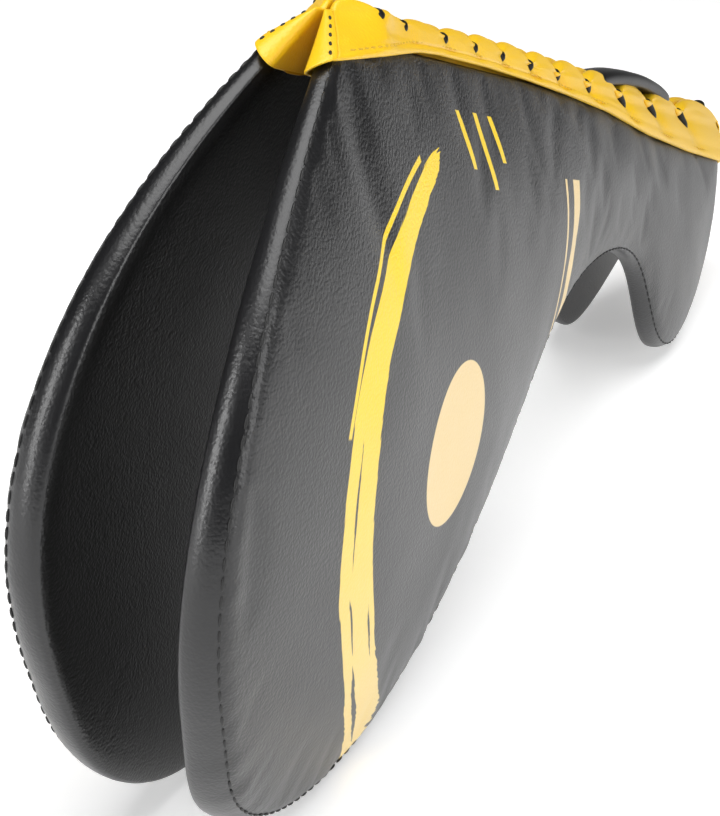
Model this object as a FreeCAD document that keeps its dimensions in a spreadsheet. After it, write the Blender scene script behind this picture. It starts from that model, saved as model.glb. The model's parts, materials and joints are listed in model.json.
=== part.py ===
"""Double clapper kick mitt: two cupped leather paddles laced together along their straight top edge.

Each paddle is modelled with its outline in the XZ plane (the straight edge on top, the head towards +X) and
its thickness along +Y. It is curved about an axis that runs along X, so every layer of it is the prism of the
outline cut by a cylinder wall. The right paddle leans out by the lean angle about the lacing line, the left
paddle is its mirror image, and both stand on the tips of their heads and handles, so the spine slopes.
"""
import FreeCAD
import Part
import math
import os

Vector = FreeCAD.Vector

doc = FreeCAD.newDocument("clapper_mitt")

# Driving dimensions, in millimetres and degrees.
SIZES = {
    "head_front": 195.0,
    "head_depth": 153.0,
    "neck_depth": 42.0,
    "handle_depth": 74.0,
    "rear_end": 196.0,
    "spine_front": 150.0,
    "edge_top": 2.6,
    "face_radius": 345.0,
    "hinge_gap": 1.6,
    "thickness": 12.0,
    "leather": 1.2,
    "clearance": 0.1,
    "back_foam_thickness": 2.6,
    "board_thickness": 1.2,
    "board_inset": 9.0,
    "binding_depth": 14.0,
    "front_cap_length": 26.0,
    "rear_cap_length": 22.0,
    "thread": 1.0,
    "bump_pitch": 25.0,
    "first_bump": 110.0,
    "bump_count": 9.0,
    "bump_radius": 9.0,
    "bump_centre_depth": 6.0,
    "bump_slit": 6.0,
    "lace_diameter": 3.4,
    "lace_height": 2.5,
    "lace_swing": 3.0,
    "lace_slant": 2.4,
    "lace_corner": 2.0,
    "knot_distance": 8.0,
    "knot_lift": 0.6,
    "loop_width": 10.0,
    "loop_thickness": 2.2,
    "loop_front": -27.0,
    "loop_rear": -130.0,
    "loop_foot_top": 5.9,
    "loop_rise": 1.8,
    "foot_length": 8.0,
    "foot_width": 7.0,
    "lean": 15.0,
}

sheet = doc.addObject("Spreadsheet::Sheet", "sizes")
for row, (word, value) in enumerate(SIZES.items(), start=1):
    sheet.set(f"A{row}", word)
    sheet.set(f"B{row}", str(value))
    sheet.setAlias(f"B{row}", word)
doc.recompute()


def size(word):
    return float(sheet.get(word))


# ---------------------------------------------------------------- how the pieces are made

pieces = []


def wall(label, inner, outer):
    """The space between two cylinders about the paddle's curve axis, at two heights above the inner face."""
    cylinders = []
    for name, height in (("outer", outer), ("inner", inner)):
        cylinder = doc.addObject("Part::Cylinder", f"{label}_{name}")
        cylinder.Height = 600
        cylinder.Placement = FreeCAD.Placement(Vector(-300, 0, 0), FreeCAD.Rotation(Vector(0, 1, 0), 90))
        cylinder.setExpression("Radius", f"sizes.face_radius + ({height})")
        cylinder.setExpression("Placement.Base.y", "sizes.hinge_gap - sizes.face_radius")
        cylinders.append(cylinder)
    ring = doc.addObject("Part::Cut", label)
    ring.Base, ring.Tool = cylinders
    return ring


def tangent_arc(start, direction, end):
    """The arc that leaves start in a direction and ends at end."""
    chord = end - start
    across = direction - chord * (direction.dot(chord) / chord.dot(chord))
    turn = direction.getAngle(chord)
    middle = (start + end) * 0.5
    if turn > 1e-6:
        middle = middle + across.normalize() * (chord.Length / 2 * math.tan(turn / 2))
    return Part.Arc(start, middle, end)


def arcs_through(points):
    """Tangent arcs through the points, two between each neighbouring pair."""
    spans = [after - before for before, after in zip(points, points[1:])]
    directions = [spans[0]]
    for back, ahead in zip(spans, spans[1:]):
        directions.append(back / back.Length**2 + ahead / ahead.Length**2)
    directions.append(spans[-1])
    directions = [direction.normalize() for direction in directions]
    arcs = []
    for index, (start, end) in enumerate(zip(points, points[1:])):
        leave, arrive = directions[index], directions[index + 1]
        span = end - start
        along = span.dot(leave + arrive)
        bend = 2 * (1 - leave.dot(arrive))
        reach = (math.sqrt(along**2 + bend * span.dot(span)) - along) / bend
        join = (start + leave * reach + end - arrive * reach) * 0.5
        arcs.append(tangent_arc(start, leave, join))
        half = join - start
        turned_back = half * (2 * leave.dot(half) / half.dot(half))
        arcs.append(tangent_arc(join, turned_back - leave, end))
    return arcs


def outline_sketch():
    """The paddle's outline: an egg-shaped head, a narrow grip and a handle end that turns down."""
    front, rear = size("head_front"), -size("rear_end")
    head, neck, handle = size("head_depth"), size("neck_depth"), size("handle_depth")
    top = size("edge_top")
    around = [
        (size("spine_front"), top),
        (front - 16, 0.24 * head),
        (front, 0.57 * head),
        (front - 20, 0.87 * head),
        (front - 72, head),
        (front - 127, 0.82 * head),
        (front - 170, neck + 25),
        (front - 225, neck + 2),
        (rear + 124, neck),
        (rear + 98, 0.8 * handle),
        (rear + 64, handle),
        (rear + 26, 0.68 * handle),
        (rear, top),
    ]
    sketch = doc.addObject("Sketcher::SketchObject", "paddle_outline")
    for arc in arcs_through([Vector(x, -s, 0) for x, s in around]):
        sketch.addGeometry(arc, False)
    sketch.addGeometry(Part.LineSegment(Vector(rear, -top, 0), Vector(size("spine_front"), -top, 0)), False)
    sketch.Placement = FreeCAD.Placement(Vector(0, 0, 0), FreeCAD.Rotation(Vector(1, 0, 0), 90))
    return sketch


def prism(label, inset):
    """The outline, moved inwards by an inset if there is one, and extruded across the whole thickness."""
    border = outline
    if inset:
        border = doc.addObject("Part::Offset2D", f"{label}_border")
        border.Source = outline
        border.Mode = "Pipe"
        border.setExpression("Value", f"-({inset})")
    block = doc.addObject("Part::Extrusion", label)
    block.Base = border
    block.DirMode = "Custom"
    block.Dir = Vector(0, 1, 0)
    block.LengthFwd = 400
    block.Symmetric = True
    block.Solid = True
    return block


def common(label, *members):
    joined = doc.addObject("Part::MultiCommon", label)
    joined.Shapes = list(members)
    return joined


def cut(label, base, tool):
    rest = doc.addObject("Part::Cut", label)
    rest.Base = base
    rest.Tool = tool
    return rest


def fuse(label, *members):
    joined = doc.addObject("Part::MultiFuse", label)
    joined.Shapes = list(members)
    return joined


def box(label, low, high):
    """A box between two corners, each corner three expressions."""
    block = doc.addObject("Part::Box", label)
    for side, axis, start, end in zip(("Length", "Width", "Height"), "xyz", low, high):
        block.setExpression(side, f"({end}) - ({start})")
        block.setExpression(f"Placement.Base.{axis}", start)
    return block


def pair(right):
    """Names a paddle's piece right_ and adds the left paddle's mirror image of it."""
    name = right.Label
    left = doc.addObject("Part::Mirroring", f"left_{name}")
    left.Source = right
    left.Normal = Vector(0, 1, 0)
    left.Label = f"left_{name}"
    right.Label = f"right_{name}"
    paddle_pieces.append(right)
    pieces.extend([right, left])


paddle_pieces = []
outline = outline_sketch()

# ---------------------------------------------------------------- foam and board inside a paddle

BACK_FOAM_LOW = "sizes.leather + sizes.clearance"
BACK_FOAM_HIGH = f"{BACK_FOAM_LOW} + sizes.back_foam_thickness"
BOARD_LOW = f"{BACK_FOAM_HIGH} + sizes.clearance"
BOARD_HIGH = f"{BOARD_LOW} + sizes.board_thickness"
FACE_FOAM_LOW = f"{BOARD_HIGH} + sizes.clearance"
FACE_FOAM_HIGH = "sizes.thickness - sizes.leather - sizes.clearance"

core_prism = prism("core_prism", "sizes.leather + sizes.clearance")
pair(common("back_foam", core_prism, wall("back_foam_wall", BACK_FOAM_LOW, BACK_FOAM_HIGH)))
board_prism = prism("board_prism", "sizes.board_inset")
pair(common("stiffener_board", board_prism, wall("board_wall", BOARD_LOW, BOARD_HIGH)))
pair(common("striking_foam", core_prism, wall("striking_foam_wall", FACE_FOAM_LOW, FACE_FOAM_HIGH)))

# ---------------------------------------------------------------- leather skin of a paddle

pair(common("inner_face", core_prism, wall("inner_face_wall", "0", "sizes.leather")))
outer_face_wall = wall("outer_face_wall", "sizes.thickness - sizes.leather", "sizes.thickness")
pair(common("outer_face", core_prism, outer_face_wall))

full_prism = prism("full_prism", None)
hollow_prism = prism("hollow_prism", "sizes.leather")
open_top = box(
    "band_open_top",
    ("-sizes.rear_end + 6", "-100", "-sizes.edge_top - 3"),
    ("sizes.spine_front - 3", "100", "20"),
)
band_inside = fuse("band_inside", hollow_prism, open_top)
body_wall = wall("body_wall", "0", "sizes.thickness")
pair(cut("edge_band", common("band_block", full_prism, body_wall), band_inside))

seam_prism_out = prism("seam_prism_out", "-sizes.thread * 0.5")
seam_prism_in = prism("seam_prism_in", "-sizes.clearance * 0.5")
seam_wall = wall("seam_wall", "sizes.thickness - sizes.thread", "sizes.thickness")
below_binding = box(
    "below_binding",
    ("-300", "-100", "-300"),
    ("300", "100", "-sizes.binding_depth - 1"),
)
seam_ring = cut("seam_ring", common("seam_block", seam_prism_out, seam_wall), seam_prism_in)
pair(common("edge_seam", seam_ring, below_binding))

# ---------------------------------------------------------------- yellow binding over the spine

cover_prism = prism("cover_prism", "-sizes.leather - sizes.clearance")
COVER_HIGH = "sizes.thickness + sizes.leather + sizes.clearance"
cover_wall = wall("cover_wall", "-sizes.leather - sizes.clearance", COVER_HIGH)
cavity_prism = prism("cavity_prism", "-sizes.clearance")
cavity_wall = wall("cavity_wall", "-sizes.clearance", "sizes.thickness + sizes.clearance")
cavity = common("cavity", cavity_prism, cavity_wall)
above_hem = box("above_hem", ("-300", "-100", "-sizes.binding_depth"), ("300", "100", "30"))
cover = common("cover", cover_prism, cover_wall, above_hem)

bumps = []
for number in range(int(size("bump_count"))):
    bump = doc.addObject("Part::Cylinder", f"bump_{number + 1}")
    bump.Placement = FreeCAD.Placement(Vector(0, 0, 0), FreeCAD.Rotation(Vector(1, 0, 0), -90))
    bump.setExpression("Radius", "sizes.bump_radius")
    bump.setExpression("Height", "sizes.thickness + sizes.leather - sizes.bump_slit")
    bump.setExpression("Placement.Base.x", f"sizes.first_bump - {number} * sizes.bump_pitch")
    bump.setExpression("Placement.Base.y", "sizes.bump_slit")
    bump.setExpression("Placement.Base.z", "-sizes.bump_centre_depth")
    bumps.append(bump)
bump_room = box("bump_room", ("-300", "-100", "-sizes.edge_top + sizes.clearance"), ("300", "100", "30"))
bump_row = common("bump_row", fuse("bump_rolls", *bumps), bump_room)

FRONT_SPLIT = "sizes.spine_front - sizes.front_cap_length"
REAR_SPLIT = "-sizes.rear_end + sizes.rear_cap_length"
shell = cut("shell", fuse("covered_spine", cover, bump_row), cavity)
middle = box(
    "middle_of_spine",
    (f"{REAR_SPLIT} + sizes.clearance", "-100", "-300"),
    (f"{FRONT_SPLIT} - sizes.clearance", "100", "300"),
)
front = box("front_of_spine", (FRONT_SPLIT, "-100", "-300"), ("300", "100", "300"))
rear = box("rear_of_spine", ("-300", "-100", "-300"), (REAR_SPLIT, "100", "300"))
pair(common("spine_binding", shell, middle))
pair(common("front_cap", shell, front))
pair(common("rear_cap", shell, rear))

STITCH_LOW = "sizes.thickness + sizes.leather + sizes.clearance * 2"
stitch_line = box(
    "stitch_line",
    (f"{REAR_SPLIT} + 2", "0", "-sizes.binding_depth + 2"),
    (f"{FRONT_SPLIT} - 2", "100", "-sizes.binding_depth + 2 + sizes.thread"),
)
stitch_wall = wall("stitch_wall", STITCH_LOW, f"{STITCH_LOW} + sizes.thread * 0.5")
pair(common("binding_stitches", stitch_line, stitch_wall))

# ---------------------------------------------------------------- lace


def rounded_path(points, radius):
    """Straight runs joined by tangent arcs."""
    edges = []
    start = points[0]
    for before, corner, after in zip(points, points[1:], points[2:]):
        back = (before - corner).normalize()
        ahead = (after - corner).normalize()
        half = 0.5 * math.acos(max(-1.0, min(1.0, back.dot(ahead))))
        reach = radius / math.tan(half)
        middle = (back + ahead).normalize()
        entry = corner + back * reach
        leave = corner + ahead * reach
        centre = corner + middle * (radius / math.sin(half))
        edges.append(Part.LineSegment(start, entry).toShape())
        edges.append(Part.Arc(entry, centre - middle * radius, leave).toShape())
        start = leave
    edges.append(Part.LineSegment(start, points[-1]).toShape())
    return Part.Wire(edges)


def lace_shape():
    """A zigzag over the lacing line: one slanted pass in each valley and a slanted run between two bumps."""
    height = size("lace_height")
    swing = size("lace_swing")
    step = size("bump_pitch")
    slant = size("lace_slant")
    points = []
    for number in range(int(size("bump_count")) + 1):
        valley = size("first_bump") + (0.5 - number) * step
        points.append(Vector(valley + slant, -swing, height))
        points.append(Vector(valley - slant, swing, height))
    path = rounded_path(points, size("lace_corner"))
    circle = Part.Circle(points[0], points[1] - points[0], size("lace_diameter") / 2)
    pipe = Part.Wire(path).makePipeShell([Part.Wire(circle.toShape())], True, False)
    return pipe


lace = doc.addObject("Part::Feature", "lace")
lace.Shape = lace_shape()
pieces.append(lace)

lace_front = size("first_bump") + 0.5 * size("bump_pitch")
lace_rear = lace_front - size("bump_count") * size("bump_pitch")
knot_places = {
    "front_lace_knot": lace_front + size("knot_distance"),
    "rear_lace_knot": lace_rear - size("knot_distance"),
}
for name, place in knot_places.items():
    knot = doc.addObject("Part::Ellipsoid", name)
    knot.setExpression("Radius1", "sizes.lace_diameter * 0.7")
    knot.setExpression("Radius2", "sizes.lace_diameter * 1.2")
    knot.setExpression("Radius3", "sizes.lace_diameter * 0.8")
    knot.Placement.Base = Vector(place, 0, 0)
    knot.setExpression("Placement.Base.z", "sizes.lace_height + sizes.knot_lift")
    pieces.append(knot)

# ---------------------------------------------------------------- hand loop

for name, place in (("front_loop_anchor", "sizes.loop_front"), ("rear_loop_anchor", "sizes.loop_rear")):
    foot = box(
        name,
        (
            f"{place} - sizes.foot_length / 2",
            "-sizes.foot_width / 2",
            "sizes.lace_height + sizes.lace_diameter / 2 + sizes.clearance",
        ),
        (f"{place} + sizes.foot_length / 2", "sizes.foot_width / 2", "sizes.loop_foot_top - sizes.clearance"),
    )
    pieces.append(foot)

span = size("loop_front") - size("loop_rear")
rise = size("loop_rise")
loop_radius = (span * span / 4 + rise * rise) / (2 * rise)
sheet.set(f"A{len(SIZES) + 1}", "loop_radius")
sheet.set(f"B{len(SIZES) + 1}", str(loop_radius))
sheet.setAlias(f"B{len(SIZES) + 1}", "loop_radius")
loop_walls = []
for name, extra in (("loop_outside", "sizes.loop_thickness"), ("loop_inside", "0")):
    cylinder = doc.addObject("Part::Cylinder", name)
    cylinder.Placement = FreeCAD.Placement(Vector(0, 0, 0), FreeCAD.Rotation(Vector(1, 0, 0), -90))
    cylinder.setExpression("Radius", f"sizes.loop_radius + {extra}")
    cylinder.setExpression("Height", "sizes.loop_width")
    cylinder.setExpression("Placement.Base.x", "(sizes.loop_front + sizes.loop_rear) / 2")
    cylinder.setExpression("Placement.Base.y", "-sizes.loop_width / 2")
    cylinder.setExpression("Placement.Base.z", "sizes.loop_foot_top + sizes.loop_rise - sizes.loop_radius")
    loop_walls.append(cylinder)
loop_span = box(
    "loop_span",
    ("sizes.loop_rear - sizes.foot_length / 2", "-50", "sizes.loop_foot_top"),
    ("sizes.loop_front + sizes.foot_length / 2", "50", "100"),
)
pieces.append(common("hand_loop", cut("loop_ring", *loop_walls), loop_span))

# ---------------------------------------------------------------- standing pose

doc.recompute()

lean = FreeCAD.Placement(Vector(0, 0, 0), FreeCAD.Rotation(Vector(1, 0, 0), size("lean")))
band = next(piece for piece in pieces if piece.Label == "right_edge_band").Shape.copy()
band.Placement = lean


def lowest(shape, tilt):
    turned = shape.copy()
    turned.rotate(Vector(0, 0, 0), Vector(0, 1, 0), tilt)
    return turned.optimalBoundingBox(False, False).ZMin


head_half = band.common(Part.makeBox(400, 400, 400, Vector(0, -200, -300)))
handle_half = band.common(Part.makeBox(400, 400, 400, Vector(-400, -200, -300)))
low, high = -35.0, 0.0
for _ in range(24):
    tilt = (low + high) / 2
    if lowest(head_half, tilt) < lowest(handle_half, tilt):
        high = tilt
    else:
        low = tilt
standing = FreeCAD.Placement(Vector(0, 0, 0), FreeCAD.Rotation(Vector(0, 1, 0), tilt))
turned = Part.Compound([piece.Shape for piece in pieces if piece not in paddle_pieces])
turned = Part.Compound([turned] + [piece.Shape.transformed(lean.toMatrix()) for piece in paddle_pieces])
turned = turned.transformed(standing.toMatrix())
bounds = turned.optimalBoundingBox(False, False)
floor_shift = Vector(-(bounds.XMin + bounds.XMax) / 2, 0, -bounds.ZMin)
standing.Base = floor_shift

for piece in pieces:
    if piece.TypeId == "Part::Mirroring":
        continue
    turn = standing.multiply(lean) if piece in paddle_pieces else standing
    for property_name, expression in piece.ExpressionEngine:
        if property_name.lstrip(".").startswith("Placement"):
            piece.setExpression(property_name, None)
    piece.Placement = turn.multiply(piece.Placement)
doc.recompute()

# ---------------------------------------------------------------- checks and files

for thing in doc.Objects:
    if "Invalid" in thing.State or "Error" in thing.State:
        raise RuntimeError(f"{thing.Label} failed: {thing.State}")
os.makedirs("parts", exist_ok=True)
for piece in pieces:
    if piece.Shape.isNull() or not piece.Shape.isValid():
        raise RuntimeError(f"{piece.Label} has no valid shape")
    if piece.Shape.Volume < 1:
        raise RuntimeError(f"{piece.Label} is empty")
    piece.Shape.exportStep(f"parts/{piece.Label}.step")
    print(piece.Label, len(piece.Shape.Solids), round(piece.Shape.Volume), "mm3")
hinge = standing.multVec(Vector(0, 0, 0))
axis = standing.Rotation.multVec(Vector(1, 0, 0))
print("spine slope", round(-tilt, 3), "hinge point", hinge, "hinge axis", axis)
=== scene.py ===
import json
import math

import bmesh
import bpy
import numpy as np
from mathutils import Matrix, Vector, geometry, noise
from mathutils.kdtree import KDTree

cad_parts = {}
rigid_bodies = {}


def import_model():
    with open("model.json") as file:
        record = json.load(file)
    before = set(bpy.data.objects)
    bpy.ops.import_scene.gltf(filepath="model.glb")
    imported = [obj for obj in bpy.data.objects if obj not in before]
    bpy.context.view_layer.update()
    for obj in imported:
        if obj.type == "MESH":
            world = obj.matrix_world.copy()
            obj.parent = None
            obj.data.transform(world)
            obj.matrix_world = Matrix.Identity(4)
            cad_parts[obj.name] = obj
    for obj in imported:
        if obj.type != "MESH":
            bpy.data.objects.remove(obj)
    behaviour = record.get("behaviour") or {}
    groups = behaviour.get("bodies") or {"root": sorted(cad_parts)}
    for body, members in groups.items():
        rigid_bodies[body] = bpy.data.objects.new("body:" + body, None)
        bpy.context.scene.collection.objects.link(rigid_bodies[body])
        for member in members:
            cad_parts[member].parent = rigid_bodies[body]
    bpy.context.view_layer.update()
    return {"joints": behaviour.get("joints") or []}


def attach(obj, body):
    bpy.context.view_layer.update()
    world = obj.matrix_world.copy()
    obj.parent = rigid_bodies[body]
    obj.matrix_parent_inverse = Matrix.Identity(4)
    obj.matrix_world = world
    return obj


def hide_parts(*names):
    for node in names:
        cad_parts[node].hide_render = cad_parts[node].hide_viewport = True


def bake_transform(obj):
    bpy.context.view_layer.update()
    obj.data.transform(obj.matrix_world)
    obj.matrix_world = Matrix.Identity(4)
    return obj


for leftover in list(bpy.data.objects):
    bpy.data.objects.remove(leftover)
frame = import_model()

# ------------------------------------------------------------------ lacing line
# The straight edge where the two paddles are laced together, sloping down to the handle. Every piece below is
# laid out from it in millimetres: along it, down a paddle and out from the middle.

hinge = next(joint for joint in frame["joints"] if joint["name"] == "right_paddle_hinge")
lacing_start = Vector(hinge["pos_m"])
lacing_along = Vector(hinge["axis"])
lacing_up = Vector((-lacing_along.z, 0, lacing_along.x))
LEAN = math.radians(15)


def by_lacing(x, y, z):
    """The place of a point along the lacing line, across it and above it."""
    return lacing_start + (lacing_along * x + Vector((0, y, 0)) + lacing_up * z) / 1000


def on_paddle(x, s, w, side):
    """The place of a point of a paddle: along, down it from the lacing line, and out from its inner face."""
    return by_lacing(
        x,
        side * (s * math.sin(LEAN) + w * math.cos(LEAN)),
        -s * math.cos(LEAN) + w * math.sin(LEAN),
    )


# ------------------------------------------------------------------ table, light and camera
# A plain white table top under broad soft boxes, seen from close in front of the head and a little to its right.

camera_data = bpy.data.cameras.new("camera")
camera_data.lens = 86.8
camera_data.clip_start = 0.01
camera = bpy.data.objects.new("camera", camera_data)
bpy.context.collection.objects.link(camera)
bpy.context.scene.camera = camera
bpy.context.scene.view_settings.view_transform = "Standard"
YAW, PITCH, ROLL = math.radians(-160.66), math.radians(-9.32), math.radians(12.34)
ahead = Vector((math.cos(YAW) * math.cos(PITCH), math.sin(YAW) * math.cos(PITCH), math.sin(PITCH)))
right = Vector((math.sin(YAW), -math.cos(YAW), 0))
above = right.cross(ahead)
turned_right = math.cos(ROLL) * right + math.sin(ROLL) * above
turned_above = math.cos(ROLL) * above - math.sin(ROLL) * right


def lacing_direction(vector):
    return lacing_along * vector.x + Vector((0, vector.y, 0)) + lacing_up * vector.z


camera_turn = Matrix(
    (lacing_direction(turned_right), lacing_direction(turned_above), -lacing_direction(ahead))
).transposed()
camera.matrix_world = Matrix.Translation(by_lacing(481.6, 138.3, -10.0)) @ camera_turn.to_4x4()

table_mesh = bpy.data.meshes.new("table_top")
table_edge = 6.0
table_mesh.from_pydata(
    [
        (-table_edge, -table_edge, 0), (table_edge, -table_edge, 0),
        (table_edge, table_edge, 0), (-table_edge, table_edge, 0),
    ],
    [],
    [(0, 1, 2, 3)],
)
table_top = bpy.data.objects.new("table_top", table_mesh)
bpy.context.collection.objects.link(table_top)
white_paint = bpy.data.materials.new("white_table")
white_paint.use_nodes = True
white_paint.node_tree.nodes["Principled BSDF"].inputs["Base Color"].default_value = (0.9, 0.9, 0.9, 1)
white_paint.node_tree.nodes["Principled BSDF"].inputs["Roughness"].default_value = 0.7
white_paint.node_tree.nodes["Principled BSDF"].inputs["Emission Color"].default_value = (1, 1, 1, 1)
white_paint.node_tree.nodes["Principled BSDF"].inputs["Emission Strength"].default_value = 0.4
table_mesh.materials.append(white_paint)

surroundings = bpy.data.worlds.new("white_room")
surroundings.use_nodes = True
room = surroundings.node_tree
facing = room.nodes.new("ShaderNodeVectorMath")
facing.operation = "DOT_PRODUCT"
facing.inputs[1].default_value = (-0.90, -0.42, -0.12)
room_direction = room.nodes.new("ShaderNodeTexCoord")
room.links.new(room_direction.outputs["Generated"], facing.inputs[0])
backdrop = room.nodes.new("ShaderNodeMapRange")
backdrop.interpolation_type = "SMOOTHSTEP"
backdrop.inputs["From Min"].default_value = 0.12
backdrop.inputs["From Max"].default_value = 0.78
backdrop.inputs["To Min"].default_value = 0.07
backdrop.inputs["To Max"].default_value = 1.7
room.links.new(facing.outputs["Value"], backdrop.inputs["Value"])
room.links.new(backdrop.outputs["Result"], room.nodes["Background"].inputs["Strength"])
bpy.context.scene.world = surroundings


def soft_box(name, place, aim, width, height, watts):
    lamp = bpy.data.lights.new(name, "AREA")
    lamp.shape = "RECTANGLE"
    lamp.size = width
    lamp.size_y = height
    lamp.energy = watts
    lamp_object = bpy.data.objects.new(name, lamp)
    lamp_object.location = place
    lamp_object.rotation_euler = (Vector(aim) - Vector(place)).to_track_quat("-Z", "Y").to_euler()
    bpy.context.collection.objects.link(lamp_object)


soft_box("soft_box_above", (0.25, 0.1, 1.25), (0.0, 0, 0.0), 1.1, 1.1, 18)
soft_box("soft_box_side", (0.25, 1.3, 0.5), (0.05, 0, 0.08), 0.5, 0.9, 8)
soft_box("soft_box_front", (1.0, -0.55, 0.35), (0.15, 0, 0.08), 0.16, 0.9, 7)

# ------------------------------------------------------------------ leather
# Both leathers are coated, with a fine pebble grain and a little variation in gloss. The group is shared by the
# black and the yellow one.


def add_socket(group, name, direction, kind, value=None):
    socket = group.interface.new_socket(name=name, in_out=direction, socket_type=kind)
    if value is not None:
        socket.default_value = value


leather_grain = bpy.data.node_groups.new("leather_grain", "ShaderNodeTree")
add_socket(leather_grain, "Pebbles per metre", "INPUT", "NodeSocketFloat", 1500.0)
add_socket(leather_grain, "Depth", "INPUT", "NodeSocketFloat", 0.00006)
add_socket(leather_grain, "Roughness", "INPUT", "NodeSocketFloat", 0.4)
add_socket(leather_grain, "Dark", "INPUT", "NodeSocketColor", (0.01, 0.01, 0.01, 1))
add_socket(leather_grain, "Light", "INPUT", "NodeSocketColor", (0.02, 0.02, 0.02, 1))
add_socket(leather_grain, "Colour", "OUTPUT", "NodeSocketColor")
add_socket(leather_grain, "Roughness", "OUTPUT", "NodeSocketFloat")
add_socket(leather_grain, "Height", "OUTPUT", "NodeSocketFloat")
nodes, links = leather_grain.nodes, leather_grain.links
grain_in = nodes.new("NodeGroupInput")
grain_out = nodes.new("NodeGroupOutput")
coordinates = nodes.new("ShaderNodeTexCoord")
wander = nodes.new("ShaderNodeTexNoise")
wander.inputs["Scale"].default_value = 700
wander.inputs["Detail"].default_value = 2
links.new(coordinates.outputs["Object"], wander.inputs["Vector"])
shifted = nodes.new("ShaderNodeVectorMath")
shifted.operation = "MULTIPLY_ADD"
shifted.inputs[1].default_value = (0.0009, 0.0009, 0.0009)
links.new(wander.outputs["Color"], shifted.inputs[0])
links.new(coordinates.outputs["Object"], shifted.inputs[2])
pebbles = nodes.new("ShaderNodeTexVoronoi")
pebbles.feature = "SMOOTH_F1"
pebbles.inputs["Smoothness"].default_value = 0.35
links.new(shifted.outputs[0], pebbles.inputs["Vector"])
links.new(grain_in.outputs["Pebbles per metre"], pebbles.inputs["Scale"])
height = nodes.new("ShaderNodeMath")
height.operation = "MULTIPLY"
links.new(pebbles.outputs["Distance"], height.inputs[0])
links.new(grain_in.outputs["Depth"], height.inputs[1])
flipped = nodes.new("ShaderNodeMath")
flipped.operation = "MULTIPLY"
flipped.inputs[1].default_value = -1
links.new(height.outputs[0], flipped.inputs[0])
links.new(flipped.outputs[0], grain_out.inputs["Height"])
patches = nodes.new("ShaderNodeTexNoise")
patches.inputs["Scale"].default_value = 22
patches.inputs["Detail"].default_value = 4
links.new(coordinates.outputs["Object"], patches.inputs["Vector"])
tint = nodes.new("ShaderNodeMix")
tint.data_type = "RGBA"
links.new(patches.outputs["Fac"], tint.inputs["Factor"])
links.new(grain_in.outputs["Dark"], tint.inputs["A"])
links.new(grain_in.outputs["Light"], tint.inputs["B"])
links.new(tint.outputs["Result"], grain_out.inputs["Colour"])
gloss_range = nodes.new("ShaderNodeMapRange")
gloss_range.inputs["From Min"].default_value = 0.3
gloss_range.inputs["From Max"].default_value = 0.7
gloss_range.inputs["To Min"].default_value = -0.05
gloss_range.inputs["To Max"].default_value = 0.05
links.new(patches.outputs["Fac"], gloss_range.inputs["Value"])
rough = nodes.new("ShaderNodeMath")
links.new(gloss_range.outputs["Result"], rough.inputs[0])
links.new(grain_in.outputs["Roughness"], rough.inputs[1])
links.new(rough.outputs[0], grain_out.inputs["Roughness"])


def leather(name, dark, light, roughness, pebbles_per_metre, depth, sheen=0.0):
    """A leather material. It returns the material with its colour mixer, so that a print can be laid over it."""
    material = bpy.data.materials.new(name)
    material.use_nodes = True
    tree = material.node_tree
    shader = tree.nodes["Principled BSDF"]
    grain = tree.nodes.new("ShaderNodeGroup")
    grain.node_tree = leather_grain
    grain.inputs["Pebbles per metre"].default_value = pebbles_per_metre
    grain.inputs["Depth"].default_value = depth
    grain.inputs["Roughness"].default_value = roughness
    grain.inputs["Dark"].default_value = (*dark, 1)
    grain.inputs["Light"].default_value = (*light, 1)
    bump = tree.nodes.new("ShaderNodeBump")
    bump.inputs["Distance"].default_value = 1.0
    tree.links.new(grain.outputs["Height"], bump.inputs["Height"])
    tree.links.new(bump.outputs["Normal"], shader.inputs["Normal"])
    tree.links.new(grain.outputs["Colour"], shader.inputs["Base Color"])
    tree.links.new(grain.outputs["Roughness"], shader.inputs["Roughness"])
    shader.inputs["Sheen Weight"].default_value = sheen
    shader.inputs["Sheen Roughness"].default_value = 0.35
    shader.inputs["Specular IOR Level"].default_value = 0.55
    return material, grain, shader


black_leather, _, _ = leather(
    "black_band_leather", (0.005, 0.005, 0.0055), (0.010, 0.010, 0.011), 0.31, 1400, 0.00004
)
plain_leather, _, _ = leather(
    "black_inner_leather", (0.004, 0.004, 0.004), (0.007, 0.007, 0.007), 0.4, 1500, 0.00008
)
yellow_leather, _, _ = leather(
    "yellow_leather", (0.80, 0.47, 0.006), (0.88, 0.55, 0.012), 0.42, 1700, 0.00005
)

# ------------------------------------------------------------------ paddle pads
# Two mirror-image pads of foam over a thin board, in grained black leather. The outer face is a crowned panel
# sewn to an edge band that widens towards the bottom of the head, and the inner face is plain and cupped.

OUTLINE = [
    (150.2, -0.7), (181.4, 31.5), (199.2, 72.9), (191.9, 109.3), (173.4, 130.1), (160.4, 145.8), (123.3, 155.8),
    (80.7, 143.6), (46.6, 100.8), (13.1, 55.5), (-35.8, 41.9), (-78.9, 42.1), (-105.0, 68.4), (-138.0, 77.4),
    (-170.9, 51.5), (-196.4, 12.3), (-201.0, -10.9), (-185.4, 0.4),
]
CUP = -57.9
CROWN = 6.0
SEAM_STEP = 2.4
TOP_EDGE = 2.8


def cup(s):
    return CUP * (s / 200) ** 2


def inner_level(s):
    return 0.9 + cup(s)


def seam_level(s):
    return 14.0 - 10.0 * math.exp(-max(s, 0.0) / 140) + cup(s)


def face_level(s, distance):
    """How far out the outer face stands, at a distance from its seam."""
    return seam_level(s) + 0.9 * (1 - math.exp(-distance / 1.3)) + CROWN * (1 - math.exp(-distance / 26))


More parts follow.
